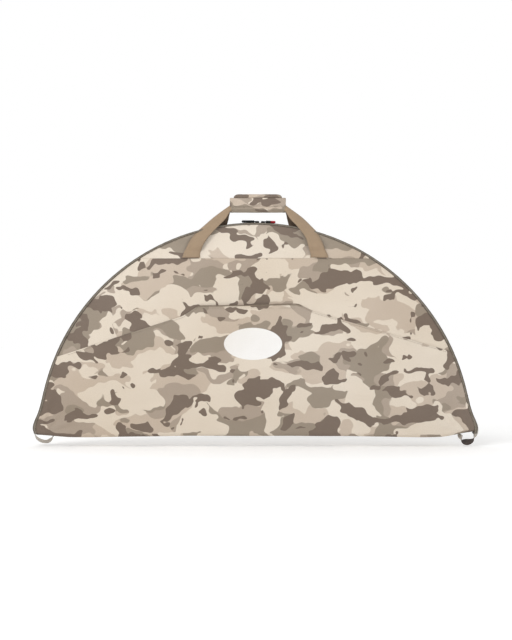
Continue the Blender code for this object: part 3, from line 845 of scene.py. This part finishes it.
# one leg of each handle, from its sewn end to the grip: x and height of its outer edge, the same of its inner edge, as
# seen from the front, and the lean of its outer edge. The back handle's legs bow further in.
SEWN = (
    (0.1965, 0.4775, 0.1478, 0.4775, 0.0), (0.1950, 0.4822, 0.1482, 0.4822, 0.0), (0.1935, 0.4870, 0.1486, 0.4870, 0.0),
)
LEGS = {
    FRONT: (
        (0.1905, 0.4940, 0.1474, 0.4930, 0.00), (0.1865, 0.5020, 0.1452, 0.4985, 0.03),
        (0.1785, 0.5205, 0.1400, 0.5130, 0.20), (0.1640, 0.5440, 0.1325, 0.5290, 0.45),
        (0.1430, 0.5645, 0.1180, 0.5485, 0.68), (0.1220, 0.5840, 0.1010, 0.5670, 0.78),
        (0.1030, 0.5985, 0.0870, 0.5815, 0.75), (0.0860, 0.6105, 0.0785, 0.5955, 0.55),
        (0.0775, 0.6165, 0.0752, 0.6010, 0.35),
    ),
    BACK: (
        (0.1905, 0.4940, 0.1474, 0.4930, 0.00), (0.1850, 0.5020, 0.1435, 0.4985, 0.03),
        (0.1700, 0.5200, 0.1340, 0.5100, 0.20), (0.1480, 0.5380, 0.1190, 0.5220, 0.45),
        (0.1270, 0.5540, 0.1010, 0.5370, 0.60), (0.1120, 0.5720, 0.0870, 0.5590, 0.66),
        (0.1000, 0.5880, 0.0805, 0.5780, 0.62), (0.0870, 0.6040, 0.0775, 0.5920, 0.50),
        (0.0775, 0.6165, 0.0752, 0.6010, 0.35),
    ),
}


def through(stations, steps):
    """Rows of numbers read off a smooth curve through the given rows."""
    rows = np.array(stations, float)
    padded = np.vstack([2 * rows[0] - rows[1], rows, 2 * rows[-1] - rows[-2]])
    made = []
    for k in range(len(rows) - 1):
        a, b, c, d = padded[k:k + 4]
        for step in range(steps):
            t = step / steps
            made.append(0.5 * (2 * b + (c - a) * t + (2 * a - 5 * b + 4 * c - d) * t**2 + (3 * b - a - 3 * c + d) * t**3))
    return np.array(made + [rows[-1]])


def handle(side, webbing, painted_shade_finish, thread):
    """One handle strap: sewn flat at both ends, twisting up to the grip and through it."""
    prefix = PREFIX[side]
    for word, sign in (("left", -1), ("right", 1)):
        line = []
        rows = np.vstack([np.array(SEWN), through(LEGS[side], 4)])
        first = LEGS[side][0][1]
        for outer_x, outer_z, inner_x, inner_z, lean in rows:
            rise = float(np.clip((outer_z - first) / (LEGS[side][-1][1] - first), 0, 1))
            shift = GRIP_SHIFT * float(smoothstep(rise * 1.3))
            outer, inner = Vector((sign * outer_x, 0, up(outer_z))), Vector((sign * inner_x, 0, up(inner_z)))
            middle = (outer + inner) / 2
            sewn = abs(float(surface_at(middle.x, middle.z, side, 0.0030)))
            free = 0.0226 - 0.0105 * float(smoothstep(rise * 1.2))
            middle.y = side * (sewn + (free - sewn) * float(smoothstep(rise * 6)))
            middle.x += shift
            seen = (outer - inner).length
            across = ((outer - inner) / seen + Vector((0, -side * lean * 0.75, 0)))
            line.append((middle, across.normalized(), seen * across.length, 0.0022))
        inner_end = GRIP_SHIFT + sign * 0.060
        outer_end = GRIP_SHIFT + sign * 0.0775
        for share in (0.5, 1.0):
            x = outer_end + (inner_end - outer_end) * share
            line.append((Vector((x, side * 0.0072, GRIP_WEB_Z)), Vector((0, 0, 1)), 0.0205, 0.0022))
        line = [(place, across * (side * sign), width, thick) for place, across, width, thick in line]
        # the face to the left of the run takes the darker webbing: painted shade
        made = strap(f"{prefix}_{word}_strap", line, webbing, camber=0.0010, painted_shade_finish=painted_shade_finish)
        names = [f"{prefix}_{word}_handle_anchor"]
        if sign < 0:
            names.append(f"{prefix}_handle_webbing")
        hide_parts(*names)
        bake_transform(made)
        for row in (0.4800, 0.4870):
            x = np.linspace(sign * 0.1505, sign * 0.1920, 8)
            z = np.full_like(x, up(row))
            y = surface_at(sign * 0.1715, up(row), side, 0.0046)
            stitches(f"{prefix}_{word}_strap_stitches_{round(row * 1e4)}", np.stack([x, np.full_like(x, float(y)), z], axis=1), thread, f"{prefix}_half")


# ---------------------------------------------------------------- grip


GRIP_SEED = (8.255, 3.328)  # where the grip's and the flap's cloth is cut from the print
FLAP_SEED = (12.296, 10.330)


def grip_pad(side, finish, thread):
    """Padded wrap on one strap: round outside, flat against the other wrap, with a hem at each end."""
    prefix = PREFIX[side]
    low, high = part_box(f"{prefix}_grip_pad")
    inner = 0.0005
    outer = max(abs(low[1]), abs(high[1])) - 0.0004
    middle = (low[2] + high[2]) / 2
    tall = (high[2] - low[2]) / 2
    points, cloth = [], []
    section = []  # depth and height round the wrap, each from -1 to 1, with even rows on its outer face
    for step in range(30):
        d = sin(pi / 2 * (-1 + (step + 0.5) / 15))
        section.append(((1 - abs(d) ** (1 / 0.275)) ** 0.275, d))
    for step in range(14):
        d = sin(pi / 2 * (1 - (step + 0.5) / 7))
        section.append((-((1 - abs(d) ** (1 / 0.275)) ** 0.275), d))
    sizes = np.array(section) * ((outer - inner) / 2, tall)
    girth = np.concatenate([[0.0], np.cumsum(np.linalg.norm(np.diff(sizes, axis=0), axis=1))])
    stations = [0.0, 0.004, 0.010, 0.060, 0.066, 0.070]
    share = [s for s in stations] + list(np.linspace(0.085, 0.915, 26)) + [1 - s for s in stations[::-1]]
    for s in share:
        x = low[0] + (high[0] - low[0]) * s
        edge = min(s, 1 - s)
        hem = 0.0006 if edge < 0.062 else 0.0
        tuck = 0.0022 * (1 - float(smoothstep(edge / 0.008)))
        puff = 0.0010 * sin(pi * s) ** 0.6 + 0.0005 * lump(s * 9, side * 2.0) + hem - tuck
        row, places = [], []
        for c, d in section:
            below = up(0.6125) - (middle + tall * d)
            groove = 0.0024 * float(np.exp(-((below / 0.0021) ** 2))) + 0.0085 * float(smoothstep(below / 0.018))
            depth = inner + (outer - inner) * (0.5 + 0.5 * c) + puff * max(c, 0.0) - groove * max(c, 0.0)
            row.append((x, side * max(depth, inner), middle + (tall + puff * 0.5) * d))
            places.append((x - low[0] + GRIP_SEED[0], GRIP_SEED[1] + girth[len(places)]))
        points.append(row)
        cloth.append(places)
    made = grid(f"{prefix}_grip_wrap", np.array(points), np.array(cloth) + 3.0 * (side + 1), finish, loop=True, caps=True)
    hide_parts(f"{prefix}_grip_pad")
    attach(made, f"{prefix}_handle")
    x = np.linspace(low[0] + 0.012, high[0] - 0.012, 40)
    line = np.stack([x, np.full_like(x, side * (outer + 0.0008)), np.full_like(x, up(0.6155))], axis=1)
    stitches(f"{prefix}_grip_seam_stitches", line, thread, f"{prefix}_handle")
    for name, at in (("left", low[0] + 0.0085), ("right", high[0] - 0.0085)):
        z = np.linspace(low[2] + 0.004, high[2] - 0.004, 12)
        y = np.full_like(z, side * (outer + 0.0005))
        stitches(f"{prefix}_grip_{name}_stitches", np.stack([np.full_like(z, at), y, z], axis=1), thread, f"{prefix}_handle")


def grip_flap(finish):
    """Closure flap: an arched padded strip with round ends that lies over both wraps."""
    low, high = FLAP_LOW, FLAP_HIGH
    points, cloth = [], []
    stations = 36
    around = 24
    rest = 0.0016  # it presses this far into the wraps' round tops
    for k in range(stations + 1):
        s = k / stations
        x = low[0] + (high[0] - low[0]) * s
        edge = min(s, 1 - s) * (high[0] - low[0])
        round_end = sqrt(max(0.0, 1 - (1 - min(edge / 0.016, 1.0)) ** 2))
        height = (high[2] - low[2]) * (0.18 + 0.82 * round_end) + 0.0004 * lump(s * 8, 4.0)
        half = (high[1] - low[1]) / 2 * (0.80 + 0.20 * round_end)
        middle = (high[1] + low[1]) / 2
        row, places = [], []
        for corner in range(around):
            turn = 2 * pi * corner / around
            c = abs(cos(turn)) ** 0.6 * (1 if cos(turn) > 0 else -1)
            d = sin(turn) ** 0.75 if sin(turn) > 0 else -(abs(sin(turn)) ** 0.30)
            z = low[2] - rest + (height + rest) * (0.5 + 0.5 * d)
            row.append((x, middle + half * c, z))
            places.append((x - low[0] + FLAP_SEED[0], corner * 0.0030 + FLAP_SEED[1]))
        points.append(row)
        cloth.append(places)
    made = grid("grip_flap_cloth", np.array(points), np.array(cloth), finish, loop=True, caps=True)
    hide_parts("grip_flap")
    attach(made, "grip_flap")


# ---------------------------------------------------------------- corner loops


# the two loops' routes: distance from the mat's round edge, height above the fold, and roll about the run
LOOPS = {
    "left": (
        (0.0010, 0.0580, 0.0), (0.0080, 0.0430, 0.10), (0.0112, 0.0290, 0.20), (0.0118, 0.0140, 0.20),
        (0.0098, 0.0020, 0.15), (0.0040, -0.0085, 0.40), (-0.0060, -0.0150, 0.46), (-0.0165, -0.0175, 0.44),
        (-0.0250, -0.0168, 0.42), (-0.0325, -0.0115, 0.30), (-0.0390, -0.0035, -0.10), (-0.0425, 0.0025, -0.3),
    ),
    "right": (
        (0.0010, 0.0580, 0.0), (0.0080, 0.0430, 0.15), (0.0112, 0.0300, 0.40), (0.0120, 0.0180, 0.55),
        (0.0106, 0.0060, 0.60), (0.0074, -0.0045, 0.35), (0.0014, -0.0135, -0.25), (-0.0080, -0.0182, -0.62),
        (-0.0180, -0.0188, -0.66), (-0.0265, -0.0160, -0.30), (-0.0310, -0.0085, 0.25), (-0.0318, -0.0005, 0.50),
        (-0.0300, 0.0025, 0.45),
    ),
}


def corner_loop(word, finish, painted_shade_finish):
    """Webbing loop under a corner: sewn up the outside of the edge and back under the fold, twisting a little."""
    sign = 1 if word == "right" else -1
    rows = through(LOOPS[word], 4)
    places = [Vector((sign * (MAT_RADIUS + x), 0, up(z))) for x, z, _ in rows]
    line = []
    for k, place in enumerate(places):
        run = (places[min(k + 1, len(places) - 1)] - places[max(k - 1, 0)]).normalized()
        out = run.cross(Vector((0, 1, 0))) * sign
        roll = rows[k][2]
        width = 0.0235 - 0.0125 * float(smoothstep((rows[k][1] - 0.020) / 0.026))
        line.append((place, Vector((0, cos(roll), 0)) + out * sin(roll), width, 0.0020))
    if word == "left":
        line = [(place, -across, width, thick) for place, across, width, thick in line]
    # one face of the loop takes the darker webbing: painted shade
    made = strap(f"{word}_loop_strap", line, finish, painted_shade_finish=painted_shade_finish)
    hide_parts(f"{word}_corner_loop")
    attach(made, "fold")


# ---------------------------------------------------------------- sliders and pulls


def on_arc(made, angle):
    """Moves a piece modelled at the top of the circle, in local metres from it, round to its place."""
    turn = Matrix.Rotation(angle, 4, "Y")
    made.data.transform(Matrix.Translation((0, 0, CENTRE_Z)) @ turn)
    return made


def slider(word, outward, metal, rubber, tip):
    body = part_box(f"{word}_slider_body")
    middle = (body[0][0] + body[1][0]) / 2
    angle = asin(middle / MAT_RADIUS)
    base = MAT_RADIUS - 0.0022
    top = base + 0.0022
    bail = MAT_RADIUS + 0.0020

    pieces = []
    points = []
    outline = []
    steps = 20
    for k in range(steps):
        turn = 2 * pi * k / steps
        c = abs(cos(turn)) ** 0.65 * (1 if cos(turn) > 0 else -1)
        d = abs(sin(turn)) ** 0.65 * (1 if sin(turn) > 0 else -1)
        waist = 1 - 0.22 * (0.5 - 0.5 * outward * -c)
        outline.append((0.0070 * c, 0.0054 * d * waist))
    for inset, height in ((0.85, base), (1.0, base + 0.0005), (1.0, top - 0.0008), (0.90, top - 0.0002), (0.60, top + 0.0003)):
        points.append([(x * inset, y * inset, height) for x, y in outline])
    cloth = np.zeros((len(points), steps, 2))
    pieces.append(grid(f"{word}_slider_plate", np.array(points), cloth, metal, loop=True, caps=True))
    points = []
    under = MAT_RADIUS - 0.0070
    for inset, height in ((0.80, under - 0.0022), (1.0, under - 0.0017), (1.0, under - 0.0004), (0.90, under)):
        points.append([(x * inset, y * inset, height) for x, y in outline])
    pieces.append(grid(f"{word}_slider_underplate", np.array(points), np.zeros((len(points), steps, 2)), metal, loop=True, caps=True))
    nose = -outward * 0.0045
    pieces.append(rounded_box(f"{word}_slider_post", (nose - 0.0018, -0.0005, under - 0.0008), (nose + 0.0018, 0.0005, base + 0.0008), 0.0002, metal, 2))
    points = []
    for inset, height in ((0.62, top - 0.0004), (0.74, top + 0.0004), (0.80, top + 0.0026), (0.72, top + 0.0042), (0.44, top + 0.0050)):
        points.append([(x * inset, y * inset * 0.8, height) for x, y in outline])
    pieces.append(grid(f"{word}_slider_bridge", np.array(points), np.zeros((5, steps, 2)), metal, loop=True, caps=True))
    for made in pieces:
        on_arc(made, angle)
        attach(made, f"{word}_slider")
    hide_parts(f"{word}_slider_body")

    tab = []
    for k in range(9):
        s = k / 8
        x = outward * (0.0002 + s * 0.0168)
        wide = 0.0062 - 0.0016 * smoothstep(s)
        tab.append((Vector((x, 0, bail + 0.0010)), Vector((0, 1, 0)), float(wide), 0.0036))
    plate = on_arc(strap(f"{word}_pull_plate", tab, metal, 6), angle)
    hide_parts(f"{word}_pull_tab")
    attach(plate, f"{word}_pull")

    length = 0.042 if word == "left" else 0.034
    points, kinds = [], []
    stations = 22
    for k in range(stations + 1):
        s = k / stations
        x = outward * (0.0080 + s * (length - 0.0080))
        wide = 0.0046 * (0.75 + 0.25 * sin(pi * min(s * 1.3, 1.0))) * sqrt(max(0.02, 1 - max(0.0, (s - 0.86) / 0.14) ** 2))
        tall = 0.0034 * (1 + 0.14 * sin(s * 2 * pi * 6.5)) * sqrt(max(0.02, 1 - max(0.0, (s - 0.90) / 0.10) ** 2))
        if s < 0.04:
            wide, tall = wide * 0.8, tall * 0.8
        row = []
        for corner in range(12):
            turn = 2 * pi * corner / 12
            c = abs(cos(turn)) ** 0.7 * (1 if cos(turn) > 0 else -1)
            d = abs(sin(turn)) ** 0.7 * (1 if sin(turn) > 0 else -1)
            row.append((x, wide * c, bail + 0.0012 + tall * d))
        points.append(row)
    cloth = np.zeros((len(points), 12, 2))
    split = len(points) if word == "left" else 12
    grip = grid(f"{word}_pull_rubber", np.array(points[:split]), cloth[:split], rubber, loop=True, caps=True)
    made = [on_arc(grip, angle)]
    if split < len(points):
        end = grid(f"{word}_pull_tip", np.array(points[split - 1:]), cloth[split - 1:], tip, loop=True, caps=True)
        made.append(on_arc(end, angle))
    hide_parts(f"{word}_pull_grip")
    for piece in made:
        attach(piece, f"{word}_pull")


def stage_and_light():
    scene = bpy.context.scene
    floor_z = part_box("left_corner_loop")[0][2] - 0.0015
    n = Nodes("floor_paper")
    place = n.add("ShaderNodeTexCoord").outputs["Object"]
    tone = n.mix(n.noise(place, 2.0, 2.0), rgb(250, 250, 249), rgb(252, 252, 252))
    n.finish(tone, 0.9)
    # painted light: the floor glows, faintly near the bag and more further out, as a brightly lit backdrop would look
    n.shader.inputs["Emission Color"].default_value = (1.0, 1.0, 1.0, 1.0)
    far = n.add("ShaderNodeVectorMath", operation="LENGTH")
    n.feed(far.inputs[0], place)
    n.feed(n.shader.inputs["Emission Strength"], n.ramp(far.outputs["Value"], 1.4, 4.0, 0.12, 0.42))
    points = [[(x, y, floor_z) for x in (-16.0, 16.0)] for y in (-16.0, 16.0)]
    grid("floor", np.array(points), np.zeros((2, 2, 2)), n.material)

    world = bpy.data.worlds.new("studio")
    scene.world = world
    world.use_nodes = True
    background = world.node_tree.nodes["Background"]
    background.inputs["Color"].default_value = (1.0, 1.0, 1.0, 1.0)
    nodes = world.node_tree.nodes
    rays = nodes.new("ShaderNodeLightPath")
    seen = nodes.new("ShaderNodeMapRange")
    seen.inputs["To Min"].default_value = 0.66
    seen.inputs["To Max"].default_value = 1.0
    world.node_tree.links.new(rays.outputs["Is Camera Ray"], seen.inputs["Value"])
    world.node_tree.links.new(seen.outputs[0], background.inputs["Strength"])
    scene.view_settings.view_transform = "Standard"

    def area(name, place, target, size, power):
        data = bpy.data.lights.new(name, "AREA")
        data.shape = "RECTANGLE"
        data.size, data.size_y = size
        data.energy = power
        lamp = bpy.data.objects.new(name, data)
        scene.collection.objects.link(lamp)
        lamp.location = place
        lamp.rotation_euler = (Vector(target) - Vector(place)).to_track_quat("-Z", "Y").to_euler()

    middle = (0, 0, up(0.3))
    area("key", (-1.5, -2.8, up(3.0)), middle, (1.8, 1.4), 65)
    area("fill", (2.6, -3.0, up(1.2)), middle, (2.2, 2.2), 12)
    area("back", (0.0, 2.2, up(2.6)), middle, (3.0, 1.2), 16)

    camera = bpy.data.cameras.new("camera")
    view = bpy.data.objects.new("camera", camera)
    scene.collection.objects.link(view)
    distance = 5.0
    frame_height = 1.717
    camera.sensor_width = 36.0
    camera.lens = camera.sensor_width * distance / frame_height
    view.location = (0.002, -HALF - distance, up(0.310))
    view.rotation_euler = (pi / 2, 0, 0)
    camera.clip_end = 50.0
    scene.camera = view


def main():
    camo = camouflage()
    grip_camo = camouflage("camo_grip_cloth", shade=0.048)
    flap_camo = camouflage("camo_flap_cloth", shade=0.125)
    webbing = plain_cloth("handle_web", (175, 150, 122), 0.0013, 0.85, 0.12, ribs=0.0026, bump=0.0002)
    # darker copy of the handle webbing for the straps' inner faces: painted shade
    web_painted_shade = plain_cloth("handle_web_painted_shade", (110, 90, 70), 0.0013, 0.85, 0.12, ribs=0.0026, bump=0.0002)
    loops = plain_cloth("loop_web", (198, 188, 176), 0.0012, 0.8, 0.1, ribs=0.0024, bump=0.0002)
    # darker copy of the loop webbing for the loops' inner faces: painted shade
    loop_painted_shade = plain_cloth("loop_web_painted_shade", (74, 60, 54), 0.0012, 0.8, 0.1, ribs=0.0024, bump=0.0002)
    tape = bound_tape("edge_tape")
    zip_cloth = plain_cloth("zip_cloth", (52, 50, 48), 0.0009, 0.8)
    teeth = moulded("coil_nylon", (38, 37, 36), 0.4)
    inner = plain_cloth("lining_cloth", (70, 68, 65), 0.0012, 0.7, 0.15)
    thread = plain_cloth("thread", (150, 136, 116), 0.0006, 0.7)
    metal = moulded("slider_paint", (20, 20, 21), 0.5)
    rubber = moulded("pull_rubber_black", (20, 20, 20), 0.7)
    tip = moulded("pull_rubber_red", (158, 20, 34), 0.55)

    for side in (FRONT, BACK):
        main_panel(side, camo)
        yoke(side, camo)
        binding(side, tape, thread)
        zip_half(side, zip_cloth, teeth)
        lining(side, inner, thread)
        handle(side, webbing, web_painted_shade, thread)
        grip_pad(side, grip_camo, thread)
    badge = (BADGE_MIDDLE[0] + POCKET_SEED, up(BADGE_MIDDLE[1]) + POCKET_SEED), BADGE_HALF
    # the mouth's tape is dyed dark: painted shade of the gap under the lip
    hem = plain_cloth("pocket_mouth_painted_shade", (140, 124, 105), 0.0008, 0.8)
    pocket(camouflage("camo_pocket_cloth", badge), hem, thread)
    grip_flap(flap_camo)
    for word, outward in (("left", -1), ("right", 1)):
        fold_end(word, camo)
        corner_loop(word, loops, loop_painted_shade)
        slider(word, outward, metal, rubber, tip)
    stage_and_light()


main()
